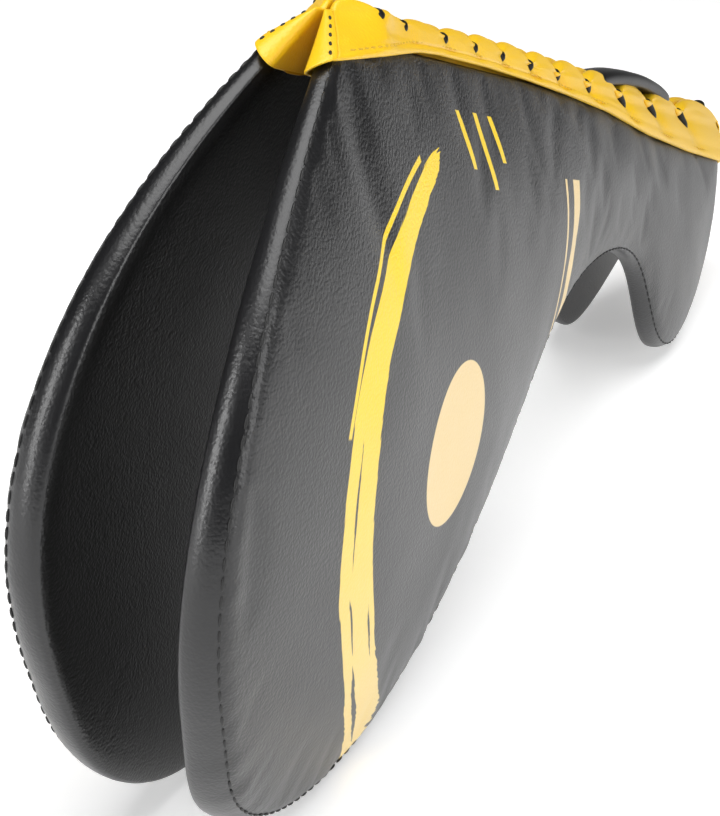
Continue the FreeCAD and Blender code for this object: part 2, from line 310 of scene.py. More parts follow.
def spline_points(places, order, detail):
    """Points along a smooth curve that starts and ends at the first and last place."""
    curve = bpy.data.curves.new("draft_curve", "CURVE")
    curve.dimensions = "3D"
    spline = curve.splines.new("NURBS")
    spline.points.add(len(places) - 1)
    for point, place in zip(spline.points, places):
        point.co = (*place, 1)
    spline.order_u = order
    spline.use_endpoint_u = True
    spline.resolution_u = detail
    draft = bpy.data.objects.new("draft_curve", curve)
    mesh = bpy.data.meshes.new_from_object(draft)
    points = np.array([vertex.co[:] for vertex in mesh.vertices])
    bpy.data.objects.remove(draft)
    bpy.data.meshes.remove(mesh)
    return points


def evenly(points, step):
    """The points moved to equal spacing along their own line."""
    lengths = np.concatenate([[0], np.cumsum(np.linalg.norm(np.diff(points, axis=0), axis=1))])
    count = max(2, int(round(lengths[-1] / step)))
    wanted = np.linspace(0, lengths[-1], count + 1)
    return np.stack([np.interp(wanted, lengths, points[:, k]) for k in range(points.shape[1])], 1)


around = spline_points([(x, s, 0) for x, s in OUTLINE], 4, 30)[:, :2]
ends = around[around[:, 1] < 22]
front_end = ends[ends[:, 0] > 0][np.argsort(ends[ends[:, 0] > 0][:, 1])]
rear_end = ends[ends[:, 0] < -150][np.argsort(ends[ends[:, 0] < -150][:, 1])]
around = around[around[:, 1] > TOP_EDGE]
around = evenly(around, SEAM_STEP)
top_edge = evenly(np.array([around[-1], around[0]]), 5.0)[1:-1]
border = np.concatenate([around, top_edge])
border_count = len(border)
tangent = np.roll(border, -1, axis=0) - np.roll(border, 1, axis=0)
tangent /= np.linalg.norm(tangent, axis=1)[:, None]
inward = np.stack([-tangent[:, 1], tangent[:, 0]], 1)
if (np.mean((border - border.mean(0)) * inward, axis=0).sum()) > 0:
    inward = -inward
close_border = evenly(np.concatenate([border, border[:1]]), 0.6)
border_tree = KDTree(len(close_border))
for index, (x, s) in enumerate(close_border):
    border_tree.insert((x, s, 0), index)
border_tree.balance()


def seam_distance(x, s):
    return border_tree.find((x, s, 0))[2]


def inside_border(x, s):
    ahead_x, ahead_s = np.roll(border, -1, axis=0).T
    here_x, here_s = border.T
    crossing = (here_s > s) != (ahead_s > s)
    at = here_x + (s - here_s) / np.where(ahead_s == here_s, 1, ahead_s - here_s) * (ahead_x - here_x)
    return np.count_nonzero(crossing & (x < at)) % 2 == 1


panel = [tuple(point) for point in border]
for ring in (1.1, 2.3, 3.9, 6.0, 8.8, 12.4):
    for point in border + inward * ring:
        if seam_distance(*point) > 0.93 * ring and inside_border(*point):
            panel.append(tuple(point))
GRID = 4.4
for row in range(60):
    for column in range(110):
        place = (-210 + (column + 0.5 * (row % 2)) * GRID, -8 + row * GRID * 0.866)
        if inside_border(*place) and seam_distance(*place) > 15.0:
            panel.append(place)
loop_edges = [(k, (k + 1) % border_count) for k in range(border_count)]
flat_points, _, flat_faces, _, _, _ = geometry.delaunay_2d_cdt(
    [Vector(place) for place in panel], loop_edges, [], 1, 1e-6
)
flat_points = [tuple(point) for point in flat_points]
panel_distance = [seam_distance(*point) for point in flat_points]
for index in range(border_count):
    panel_distance[index] = 0.0
BAND_ROWS = 6


def lay_flat(point, side):
    """Along and down a paddle from a place in the row frame, and how far out it is."""
    offset = (point - lacing_start) * 1000
    x, y, z = offset.dot(lacing_along), side * offset.y, offset.dot(lacing_up)
    return x, y * math.sin(LEAN) - z * math.cos(LEAN), y * math.cos(LEAN) + z * math.sin(LEAN)


def pad_mesh(name, side):
    """The closed pad. Its vertices are in order: outer panel, rows of the edge band, inner panel."""
    verts = []
    for (x, s), distance in zip(flat_points, panel_distance):
        crown = face_level(s, distance)
        if distance > 2:
            crown -= 0.35 * CROWN * (1 - math.exp(-(distance - 2) / 26))
        verts.append(on_paddle(x, s, crown, side))
    for row in range(1, BAND_ROWS):
        share = row / BAND_ROWS
        for index in range(border_count):
            x, s = border[index]
            width = seam_level(s) - inner_level(s)
            round_out = min(1.3, 0.16 * width) * math.sin(math.pi * share) ** 0.7
            x, s = border[index] - inward[index] * round_out
            level = seam_level(s) * (1 - share) + inner_level(s) * share
            verts.append(on_paddle(x, s, level, side))
    inner_start = len(verts)
    for (x, s), distance in zip(flat_points, panel_distance):
        fold = 0.8 * math.exp(-distance / 1.6) - 0.6 * (1 - math.exp(-distance / 14))
        verts.append(on_paddle(x, s, inner_level(s) + fold * 0.9, side))
    count = len(flat_points)
    rows = [list(range(border_count))]
    for row in range(BAND_ROWS - 1):
        rows.append([count + row * border_count + index for index in range(border_count)])
    rows.append([inner_start + index for index in range(border_count)])
    faces, panels = [], []
    for face in flat_faces:
        faces.append(list(face))
        panels.append(0)
        faces.append([inner_start + index for index in reversed(face)])
        panels.append(2)
    for upper, lower in zip(rows, rows[1:]):
        for index in range(border_count):
            after = (index + 1) % border_count
            faces.append([upper[index], lower[index], lower[after], upper[after]])
            panels.append(1)
    mesh = bpy.data.meshes.new(name)
    mesh.from_pydata(verts, [], faces)
    mesh.polygons.foreach_set("material_index", panels)
    shape = bmesh.new()
    shape.from_mesh(mesh)
    bmesh.ops.recalc_face_normals(shape, faces=shape.faces)
    if shape.calc_volume(signed=True) < 0:
        bmesh.ops.reverse_faces(shape, faces=shape.faces)
    shape.to_mesh(mesh)
    shape.free()
    mesh.shade_smooth()
    face_uv = mesh.uv_layers.new(name="face")
    spots = [lay_flat(vertex.co, side) for vertex in mesh.vertices]
    for corner in mesh.loops:
        x, s, _ = spots[corner.vertex_index]
        face_uv.data[corner.index].uv = ((x + 250) / 500, (s + 250) / 500)
    return mesh


def swell(pad, cap):
    """Lets the outer panel swell under pressure, held at its seam, and keeps each point within the cap."""
    start = np.array([vertex.co[:] for vertex in pad.data.vertices])
    held = pad.vertex_groups.new(name="held")
    still = [index for index in range(len(start)) if index >= len(flat_points) or index < border_count]
    held.add(still, 1.0, "REPLACE")
    cloth = pad.modifiers.new("swell", "CLOTH")
    cloth.settings.quality = 5
    cloth.settings.mass = 0.3
    cloth.settings.tension_stiffness = 18
    cloth.settings.compression_stiffness = 18
    cloth.settings.shear_stiffness = 8
    cloth.settings.bending_stiffness = 3.0
    cloth.settings.use_pressure = True
    cloth.settings.uniform_pressure_force = 4.0
    cloth.settings.effector_weights.gravity = 0
    cloth.settings.vertex_group_mass = "held"
    cloth.settings.shrink_min = -0.0015
    cloth.collision_settings.use_collision = False
    cloth.point_cache.frame_start = 1
    cloth.point_cache.frame_end = 20
    for step in range(1, 21):
        bpy.context.scene.frame_set(step)
    evaluated = pad.evaluated_get(bpy.context.evaluated_depsgraph_get())
    moved = np.array([vertex.co[:] for vertex in evaluated.data.vertices]) - start
    far = np.linalg.norm(moved, axis=1)
    moved *= np.minimum(1, cap / np.maximum(far, 1e-9))[:, None]
    pad.modifiers.remove(cloth)
    pad.vertex_groups.remove(held)
    bpy.context.scene.frame_set(1)
    pad.data.vertices.foreach_set("co", (start + moved).ravel())


def pucker(mesh, side):
    """Small radial creases where the thread pulls the leather in, deeper round the bottom of the head."""
    seam_run = np.concatenate([[0], np.cumsum(np.linalg.norm(np.diff(close_border, axis=0), axis=1))])
    places = np.array([vertex.co[:] for vertex in mesh.vertices])
    normals = np.array([vertex.normal[:] for vertex in mesh.vertices])
    for index, place in enumerate(places):
        x, s, w = lay_flat(Vector(place), side)
        _, nearest, distance = border_tree.find((x, s, 0))
        if distance > 16 or s < 8:
            continue
        run = seam_run[nearest]
        drop = seam_level(s) - w
        strength = 0.10 + 0.30 * max(0.0, min(1.0, (s - 50) / 70))
        wave = noise.noise(Vector((run / 6.5, side * 7.0, 0.3)))
        wave += 0.5 * noise.noise(Vector((run / 3.4, side * 3.0, 5.1)))
        away = max(distance if drop < 0.3 else 0.0, abs(drop))
        fade = (1 - math.exp(-away / 0.9)) * math.exp(-away / 3.2) * (1.0 if drop < 0.3 else 0.35)
        fade *= min(1.0, (s - 8) / 14)
        places[index] += normals[index] * (wave * strength * fade * 2.0) / 1000
    mesh.vertices.foreach_set("co", places.ravel())
    mesh.update()


# The print on the outer face is laid out from the paddle's own map: a round target, a brush stroke round its
# front, three dashes near the top and two plain bars beside the target.
TARGET = (95.0, 82.5)
print_leather, print_grain, print_shader = leather(
    "printed_grain_leather", (0.006, 0.006, 0.0065), (0.012, 0.012, 0.013), 0.36, 1350, 0.00008
)
tree = print_leather.node_tree


def sum_up(operation, first, second=None, third=None):
    """One math step of the print, each input a socket or a number."""
    step = tree.nodes.new("ShaderNodeMath")
    step.operation = operation
    for place, value in enumerate((first, second, third)):
        if value is None:
            continue
        if isinstance(value, (int, float)):
            step.inputs[place].default_value = value
        else:
            tree.links.new(value, step.inputs[place])
    return step.outputs[0]


def graph(value, points, low, high, bottom, top):
    """A curve through points, for a value between low and high."""
    spread = tree.nodes.new("ShaderNodeMapRange")
    spread.inputs["From Min"].default_value = low
    spread.inputs["From Max"].default_value = high
    tree.links.new(value, spread.inputs["Value"])
    curve = tree.nodes.new("ShaderNodeFloatCurve")
    line = curve.mapping.curves[0]
    line.points[0].location = ((points[0][0] - low) / (high - low), (points[0][1] - bottom) / (top - bottom))
    line.points[1].location = ((points[-1][0] - low) / (high - low), (points[-1][1] - bottom) / (top - bottom))
    for place, level in points[1:-1]:
        line.points.new((place - low) / (high - low), (level - bottom) / (top - bottom))
    curve.mapping.update()
    tree.links.new(spread.outputs["Result"], curve.inputs["Value"])
    return sum_up("MULTIPLY_ADD", curve.outputs["Value"], top - bottom, bottom)


def smooth_above(value, edge, softness):
    """1 where the value is over the edge, with a soft change."""
    spread = tree.nodes.new("ShaderNodeMapRange")
    spread.interpolation_type = "SMOOTHSTEP"
    tree.links.new(sum_up("SUBTRACT", value, edge), spread.inputs["Value"])
    spread.inputs["From Min"].default_value = -softness
    spread.inputs["From Max"].default_value = softness
    return spread.outputs["Result"]


face_map = tree.nodes.new("ShaderNodeUVMap")
face_map.uv_map = "face"
face_axes = tree.nodes.new("ShaderNodeSeparateXYZ")
tree.links.new(face_map.outputs["UV"], face_axes.inputs["Vector"])
map_x = sum_up("MULTIPLY_ADD", face_axes.outputs["X"], 500.0, -250.0)
map_s = sum_up("MULTIPLY_ADD", face_axes.outputs["Y"], 500.0, -250.0)
from_x = sum_up("SUBTRACT", map_x, TARGET[0])
from_s = sum_up("SUBTRACT", map_s, TARGET[1])
radius = sum_up("SQRT", sum_up("ADD", sum_up("MULTIPLY", from_x, from_x), sum_up("MULTIPLY", from_s, from_s)))
angle = sum_up("MULTIPLY", sum_up("ARCTAN2", from_x, sum_up("MULTIPLY", from_s, -1.0)), 180 / math.pi)
turn_back = sum_up("LESS_THAN", angle, -90.0)
angle = sum_up("ADD", angle, sum_up("MULTIPLY", turn_back, 360.0))
OUTER_EDGE = [
    (10, 62.2), (20, 62.8), (40, 61.9), (60, 62.4), (75, 62.2), (88, 60.2), (103, 58.4), (117, 57.2), (129, 55.6),
    (143, 56.2), (152, 58.4), (159, 60.2), (170, 65.6), (180, 70.0), (190, 74.0),
]
INNER_EDGE = [
    (10, 64.5), (17.4, 61.4), (20, 58.9), (25.6, 57.2), (36.4, 55.2), (45.6, 53.8), (61, 51.6), (70, 50.6), (78, 48.8),
    (87, 47.0), (95.5, 45.7), (112, 43.8), (128.6, 42.8), (145, 44.2), (164, 48.2), (175, 52.6), (185, 58.0),
    (190, 62.0),
]
bristles = tree.nodes.new("ShaderNodeTexNoise")
bristles.inputs["Scale"].default_value = 1.0
bristles.inputs["Detail"].default_value = 3
bristle_place = tree.nodes.new("ShaderNodeCombineXYZ")
tree.links.new(sum_up("MULTIPLY", angle, 0.055), bristle_place.inputs["X"])
tree.links.new(sum_up("MULTIPLY", radius, 1.1), bristle_place.inputs["Y"])
tree.links.new(bristle_place.outputs[0], bristles.inputs["Vector"])
ragged = sum_up("MULTIPLY_ADD", bristles.outputs["Fac"], 1.6, -0.8)
outer_edge = sum_up("ADD", graph(angle, OUTER_EDGE, 0, 200, 40, 80), ragged)
inner_edge = sum_up("ADD", graph(angle, INNER_EDGE, 0, 200, 40, 80), ragged)
stroke = sum_up(
    "MULTIPLY",
    smooth_above(sum_up("SUBTRACT", outer_edge, radius), 0.0, 0.12),
    smooth_above(sum_up("SUBTRACT", radius, inner_edge), 0.0, 0.12),
)
end_shift = sum_up("MULTIPLY_ADD", bristles.outputs["Fac"], 14.0, -7.0)
stroke = sum_up("MULTIPLY", stroke, smooth_above(sum_up("ADD", angle, end_shift), 17.0, 0.3))
past_end = smooth_above(sum_up("ADD", angle, end_shift), 180.0, 0.3)
stroke = sum_up("MULTIPLY", stroke, sum_up("SUBTRACT", 1.0, past_end))
SIDE_LINE = [(0, 64.6), (30, 64.9), (52, 65.2), (66, 64.2), (80, 62.6), (200, 60)]
side_line = sum_up("ABSOLUTE", sum_up("SUBTRACT", radius, graph(angle, SIDE_LINE, 0, 200, 40, 80)))
side_line = sum_up("SUBTRACT", 1.0, smooth_above(side_line, 0.7, 0.12))
side_line = sum_up("MULTIPLY", side_line, smooth_above(angle, 28.0, 0.3))
side_line = sum_up("MULTIPLY", side_line, sum_up("SUBTRACT", 1.0, smooth_above(angle, 84.0, 0.3)))
stroke = sum_up("MAXIMUM", stroke, side_line)
gap_places = (
    (0.38, 84.0, 112.0, 0.5), (0.30, 118.0, 137.0, 0.45), (0.27, 140.0, 174.0, 0.9), (0.82, 128.0, 150.0, 0.3),
)
for share, opens, closes, half in gap_places:
    middle = sum_up("ADD", sum_up("MULTIPLY", outer_edge, 1 - share), sum_up("MULTIPLY", inner_edge, share))
    between_ends = sum_up("MULTIPLY", sum_up("SUBTRACT", angle, opens), sum_up("SUBTRACT", closes, angle))
    width = sum_up("MULTIPLY", between_ends, 4 * half / (closes - opens) ** 2)
    off_middle = sum_up("ABSOLUTE", sum_up("SUBTRACT", radius, middle))
    gap = smooth_above(sum_up("SUBTRACT", width, off_middle), 0.0, 0.1)
    gap = sum_up("MULTIPLY", gap, sum_up("GREATER_THAN", angle, opens))
    gap = sum_up("MULTIPLY", gap, sum_up("LESS_THAN", angle, closes))
    stroke = sum_up("MULTIPLY", stroke, sum_up("SUBTRACT", 1.0, gap))
target = sum_up("SUBTRACT", 1.0, smooth_above(radius, 17.3, 0.12))


def bar(x_middle, s_top, s_bottom, slant, half):
    """A straight bar down the face."""
    aside = sum_up("SUBTRACT", map_x, x_middle)
    drift = sum_up("MULTIPLY", sum_up("SUBTRACT", map_s, s_top), slant)
    off = sum_up("ABSOLUTE", sum_up("SUBTRACT", aside, drift))
    mask = sum_up("SUBTRACT", 1.0, smooth_above(off, half, 0.1))
    mask = sum_up("MULTIPLY", mask, smooth_above(map_s, s_top, 0.1))
    return sum_up("MULTIPLY", mask, sum_up("SUBTRACT", 1.0, smooth_above(map_s, s_bottom, 0.1)))


cream = sum_up("MAXIMUM", target, bar(10.0, 26.0, 74.0, 0.0, 3.0))
cream = sum_up("MAXIMUM", cream, bar(19.0, 26.0, 74.0, 0.0, 0.8))
dashes = sum_up("MAXIMUM", bar(96.0, 14.0, 26.0, -0.5, 1.3), bar(85.0, 14.0, 30.0, -0.5, 1.3))
dashes = sum_up("MAXIMUM", dashes, bar(74.0, 14.0, 24.0, -0.5, 1.3))
stroke = sum_up("MAXIMUM", stroke, dashes)
stroke_tint = tree.nodes.new("ShaderNodeMix")
stroke_tint.data_type = "RGBA"
stroke_tint.inputs["A"].default_value = (0.90, 0.62, 0.012, 1)
stroke_tint.inputs["B"].default_value = (0.82, 0.60, 0.20, 1)
fading = tree.nodes.new("ShaderNodeMapRange")
fading.inputs["From Min"].default_value = 70
fading.inputs["From Max"].default_value = 130
tree.links.new(map_s, fading.inputs["Value"])
tree.links.new(fading.outputs["Result"], stroke_tint.inputs["Factor"])
with_stroke = tree.nodes.new("ShaderNodeMix")
with_stroke.data_type = "RGBA"
tree.links.new(stroke, with_stroke.inputs["Factor"])
tree.links.new(print_grain.outputs["Colour"], with_stroke.inputs["A"])
tree.links.new(stroke_tint.outputs["Result"], with_stroke.inputs["B"])
with_cream = tree.nodes.new("ShaderNodeMix")
with_cream.data_type = "RGBA"
with_cream.inputs["B"].default_value = (0.78, 0.58, 0.27, 1)
tree.links.new(cream, with_cream.inputs["Factor"])
tree.links.new(with_stroke.outputs["Result"], with_cream.inputs["A"])
tree.links.new(with_cream.outputs["Result"], print_shader.inputs["Base Color"])

pads = {}
for side, word in ((1, "right"), (-1, "left")):
    pad = bpy.data.objects.new(f"{word}_pad", pad_mesh(f"{word}_pad", side))
    bpy.context.collection.objects.link(pad)
    for material in (print_leather, black_leather, plain_leather):
        pad.data.materials.append(material)
    swell(pad, 0.0025)
    finer = pad.modifiers.new("finer", "SUBSURF")
    finer.levels = 1
    finer.render_levels = 1
    smooth = bpy.data.meshes.new_from_object(pad.evaluated_get(bpy.context.evaluated_depsgraph_get()))
    pad.modifiers.remove(finer)
    pad.data = smooth
    pucker(smooth, side)
    smooth.shade_smooth()
    body = f"{word}_paddle"
    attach(pad, body)
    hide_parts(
        f"{word}_outer_face", f"{word}_inner_face", f"{word}_edge_band",
        f"{word}_striking_foam", f"{word}_back_foam", f"{word}_stiffener_board",
    )
    pads[word] = pad

# ------------------------------------------------------------------ edge seams
# Black waxed thread joins each outer panel to its edge band, in short stitches that sink between the two leathers.

black_thread = bpy.data.materials.new("black_thread")
black_thread.use_nodes = True
thread_shader = black_thread.node_tree.nodes["Principled BSDF"]
thread_shader.inputs["Roughness"].default_value = 0.55
twist = black_thread.node_tree.nodes.new("ShaderNodeTexNoise")
twist.inputs["Scale"].default_value = 2500
twist_tint = black_thread.node_tree.nodes.new("ShaderNodeMix")
twist_tint.data_type = "RGBA"
twist_tint.inputs["A"].default_value = (0.002, 0.002, 0.002, 1)
twist_tint.inputs["B"].default_value = (0.012, 0.012, 0.012, 1)
thread_place = black_thread.node_tree.nodes.new("ShaderNodeTexCoord")
black_thread.node_tree.links.new(thread_place.outputs["Object"], twist.inputs["Vector"])
black_thread.node_tree.links.new(twist.outputs["Fac"], twist_tint.inputs["Factor"])
black_thread.node_tree.links.new(twist_tint.outputs["Result"], thread_shader.inputs["Base Color"])

stitch_tree = bpy.data.node_groups.new("row_of_stitches", "GeometryNodeTree")
add_socket(stitch_tree, "Geometry", "INPUT", "NodeSocketGeometry")
add_socket(stitch_tree, "Pitch", "INPUT", "NodeSocketFloat", 0.004)
add_socket(stitch_tree, "Length", "INPUT", "NodeSocketFloat", 0.003)
add_socket(stitch_tree, "Thickness", "INPUT", "NodeSocketFloat", 0.0006)
add_socket(stitch_tree, "Thread", "INPUT", "NodeSocketMaterial")
add_socket(stitch_tree, "Geometry", "OUTPUT", "NodeSocketGeometry")
nodes, links = stitch_tree.nodes, stitch_tree.links
stitch_in = nodes.new("NodeGroupInput")
stitch_out = nodes.new("NodeGroupOutput")
spaced = nodes.new("GeometryNodeCurveToPoints")
spaced.mode = "LENGTH"
links.new(stitch_in.outputs["Geometry"], spaced.inputs["Curve"])
links.new(stitch_in.outputs["Pitch"], spaced.inputs["Length"])
bead = nodes.new("GeometryNodeMeshUVSphere")
bead.inputs["Segments"].default_value = 8
bead.inputs["Rings"].default_value = 6
bead.inputs["Radius"].default_value = 0.5
bead_size = nodes.new("ShaderNodeCombineXYZ")
links.new(stitch_in.outputs["Thickness"], bead_size.inputs["X"])
links.new(stitch_in.outputs["Thickness"], bead_size.inputs["Y"])
links.new(stitch_in.outputs["Length"], bead_size.inputs["Z"])
stretched = nodes.new("GeometryNodeTransform")
links.new(bead.outputs["Mesh"], stretched.inputs["Geometry"])
links.new(bead_size.outputs[0], stretched.inputs["Scale"])
sewn = nodes.new("GeometryNodeInstanceOnPoints")
links.new(spaced.outputs["Points"], sewn.inputs["Points"])
links.new(stretched.outputs["Geometry"], sewn.inputs["Instance"])
links.new(spaced.outputs["Rotation"], sewn.inputs["Rotation"])
real = nodes.new("GeometryNodeRealizeInstances")
links.new(sewn.outputs["Instances"], real.inputs["Geometry"])
rounded = nodes.new("GeometryNodeSetShadeSmooth")
links.new(real.outputs["Geometry"], rounded.inputs["Geometry"])
threaded = nodes.new("GeometryNodeSetMaterial")
links.new(rounded.outputs["Geometry"], threaded.inputs["Geometry"])
links.new(stitch_in.outputs["Thread"], threaded.inputs["Material"])
links.new(threaded.outputs["Geometry"], stitch_out.inputs["Geometry"])


def sew(name, rows, pitch, length, thickness, thread):
    """Rows of stitches along lines of places, as one plain mesh."""
    line = bpy.data.curves.new(name, "CURVE")
    line.dimensions = "3D"
    for places in rows:
        run = line.splines.new("POLY")
        run.points.add(len(places) - 1)
        for point, place in zip(run.points, places):
            point.co = (*place, 1)
    draft = bpy.data.objects.new(name, line)
    bpy.context.collection.objects.link(draft)
    stitcher = draft.modifiers.new("stitches", "NODES")
    stitcher.node_group = stitch_tree
    keys = {item.name: item.identifier for item in stitch_tree.interface.items_tree if item.in_out == "INPUT"}
    stitcher[keys["Pitch"]] = pitch / 1000
    stitcher[keys["Length"]] = length / 1000
    stitcher[keys["Thickness"]] = thickness / 1000
    stitcher[keys["Thread"]] = thread
    mesh = bpy.data.meshes.new_from_object(
        draft.evaluated_get(bpy.context.evaluated_depsgraph_get()), depsgraph=bpy.context.evaluated_depsgraph_get()
    )
    bpy.data.objects.remove(draft)
    made = bpy.data.objects.new(name, mesh)
    bpy.context.collection.objects.link(made)
    return made


HEM = [
    (-194.1, 14.1), (-134.3, 12.9), (-78.8, 10.4), (-32.6, 6.6), (7.3, 4.8), (42.0, 3.8), (72.5, 3.3), (106.0, 3.6),
    (119.4, 4.3), (141.1, 7.3), (156.5, 9.4), (162.0, 10.0),
]


def hem_depth(x):
    return float(np.interp(x, [place[0] for place in HEM], [place[1] for place in HEM]))


for side, word in ((1, "right"), (-1, "left")):
    below = [(x, s) for x, s in evenly(around, 1.2) if s > hem_depth(x) + 0.5]
    seam_places = [on_paddle(x, s, seam_level(s) - 0.05, side) for x, s in below]
    seam = sew(f"{word}_edge_seam", [seam_places], 3.4, 2.7, 0.62, black_thread)
    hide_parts(f"{word}_edge_seam")
    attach(seam, f"{word}_paddle")

# ------------------------------------------------------------------ spine bindings
# Soft yellow leather folded over the laced edge of each paddle. The lace draws it into a row of bumps, with folds
# that run down from every valley to a turned and stitched hem.

BUMPS = [
    (147.5, 2.6), (133.6, 1.8), (111.9, 2.2), (89.2, 2.8), (70.8, 3.4), (50.3, 3.7), (25.6, 3.8), (-1.2, 4.0),
    (-31.4, 4.0), (-64.5, 3.9), (-105.1, 3.9), (-163.6, 5.0),
]
VALLEYS = [140.8, 122.7, 98.5, 78.5, 58.5, 35.0, 11.3, -18.0, -53.0, -90.0, -134.0]
FRONT_TIP, REAR_TIP = 150.5, -196.0
stops = [FRONT_TIP + 6] + VALLEYS + [REAR_TIP - 8]


def bump_shape(x):
    """1 on a bump's top and 0 in the valleys beside it, with the height of that bump."""
    for (top, high), before, after in zip(BUMPS, stops, stops[1:]):
        if x >= after or after == stops[-1]:
            half = 0.84 * (before - top if x > top else top - after)
            share = min(1.0, abs(x - top) / half)
            return math.sqrt(1 - share**2.2), high
    return 0.0, 0.0


def front_edge(s):
    return float(np.interp(s, front_end[:, 1], front_end[:, 0]))


def rear_edge(s):
    return float(np.interp(s, rear_end[:, 1], rear_end[:, 0]))


def binding_level(x, s):
    """How far out the binding lies on the outer face."""
    depth = max(0.0, min(s - TOP_EDGE, front_edge(s) - x, x - rear_edge(s)))
    puff = 2.6 * math.exp(-(((x - 141) / 8) ** 2)) * max(0.0, 1 - s / 12)
    level = face_level(max(s, 0.0), depth) + 0.9 + puff
    near_tip = max(0.0, min(1.0, (x - front_edge(s) + 13) / 13)) ** 1.5
    return level - (level - 1.2) * near_tip * (1 - max(0.0, min(1.0, s / 8.5)) ** 0.75)


def valley_fold(shape, near_dip, s, hem):
    """How far the lace pulls the leather in, at a distance s down from the spine."""
    return near_dip * 0.5 * (shape - 0.75) * math.exp(-s / (4 + 0.3 * hem))


def patch_object(name, grid, material, flip):
    """A sheet from a grid of places, in the given leather, turned over when flip is set."""
    rows, columns = len(grid), len(grid[0])
    verts = [place for row in grid for place in row]
    faces = []
    for row in range(rows - 1):
        for column in range(columns - 1):
            start = row * columns + column
            face = [start, start + 1, start + columns + 1, start + columns]
            faces.append(face[::-1] if flip else face)
    mesh = bpy.data.meshes.new(name)
    mesh.from_pydata(verts, [], faces)
    mesh.materials.append(material)
    made = bpy.data.objects.new(name, mesh)
    bpy.context.collection.objects.link(made)
    return made


def finish_sheet(made, thickness, levels=1):
    """Gives a sheet its wall and smooth surface as plain mesh."""
    wall = made.modifiers.new("wall", "SOLIDIFY")
    wall.thickness = thickness / 1000
    wall.offset = -1
    finer = made.modifiers.new("finer", "SUBSURF")
    finer.levels = levels
    finer.render_levels = levels
    mesh = bpy.data.meshes.new_from_object(made.evaluated_get(bpy.context.evaluated_depsgraph_get()))
    made.modifiers.clear()
    made.data = mesh
    mesh.shade_smooth()


yellow_thread, _, _ = leather("yellow_thread", (0.60, 0.36, 0.012), (0.70, 0.44, 0.025), 0.6, 2500, 0.00003)
NEAR_DIP = [(-200, 5.6), (-60, 5.6), (0, 5.0), (30, 3.4), (60, 1.4), (160, 0.6)]
MIDDLE_DIP = [(-200, 5.6), (0, 5.4), (60, 4.2), (160, 2.8)]
CAP_ENDS = (("front", front_edge, 1, 9.6, 12.0), ("rear", rear_edge, -1, 14.3, 14.3))
STITCH_INSET = 0.2

